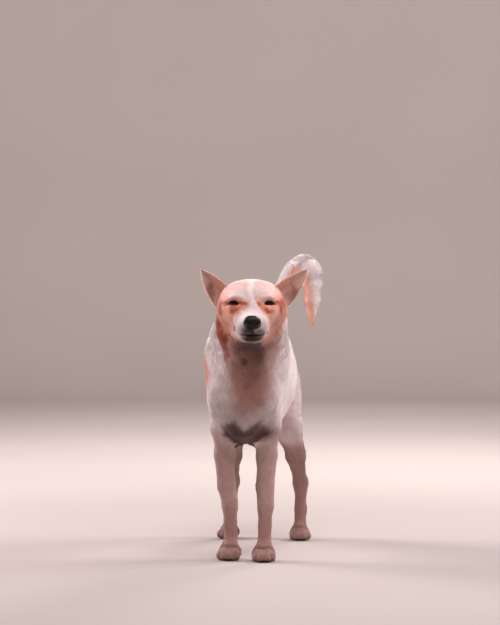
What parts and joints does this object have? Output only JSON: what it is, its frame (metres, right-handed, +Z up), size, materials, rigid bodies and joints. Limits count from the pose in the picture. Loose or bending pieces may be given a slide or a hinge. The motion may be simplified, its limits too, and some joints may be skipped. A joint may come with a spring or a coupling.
{
  "type": "dog",
  "caption": "Still, life-size dog of the pariah type: lean body, short coat, pricked ears, tail curled over, standing square on its paws.",
  "frame": {"origin": "on the floor under the middle of the whole model's outline: feet at Z = 0", "axes": "-Y the way the dog faces, +X its own left side, +Z up"},
  "size_m": [0.2392, 0.7804, 0.6253],
  "materials": {
    "white_coat": "short cream-white double coat, matt, with pale tan patches",
    "tan_coat": "short pale tan coat with a white blaze, matt, rusty round the eyes",
    "nose_leather": "black pebbled nose leather, slightly moist",
    "eye": "dark brown, wet",
    "claw": "dark translucent horn, worn at the tip"
  },
  "bodies": {
    "root": {"ear_left": "tan_coat", "ear_right": "tan_coat", "eye_left": "eye", "eye_right": "eye", "foreleg_left": "white_coat", "foreleg_right": "white_coat", "forepaw_left": "white_coat", "forepaw_left_claw_1": "claw", "forepaw_left_claw_2": "claw", "forepaw_left_claw_3": "claw", "forepaw_left_claw_4": "claw", "forepaw_right": "white_coat", "forepaw_right_claw_1": "claw", "forepaw_right_claw_2": "claw", "forepaw_right_claw_3": "claw", "forepaw_right_claw_4": "claw", "head": "tan_coat", "hindpaw_left": "white_coat", "hindpaw_left_claw_1": "claw", "hindpaw_left_claw_2": "claw", "hindpaw_left_claw_3": "claw", "hindpaw_left_claw_4": "claw", "hindpaw_right": "white_coat", "hindpaw_right_claw_1": "claw", "hindpaw_right_claw_2": "claw", "hindpaw_right_claw_3": "claw", "hindpaw_right_claw_4": "claw", "lower_jaw": "white_coat", "neck": "white_coat", "nose": "nose_leather", "shank_left": "white_coat", "shank_right": "white_coat", "tail_1": "white_coat", "tail_2": "white_coat", "tail_3": "white_coat", "tail_4": "white_coat", "tail_5": "white_coat", "thigh_left": "white_coat", "thigh_right": "white_coat", "trunk": "white_coat"}
  },
  "joints": []
}
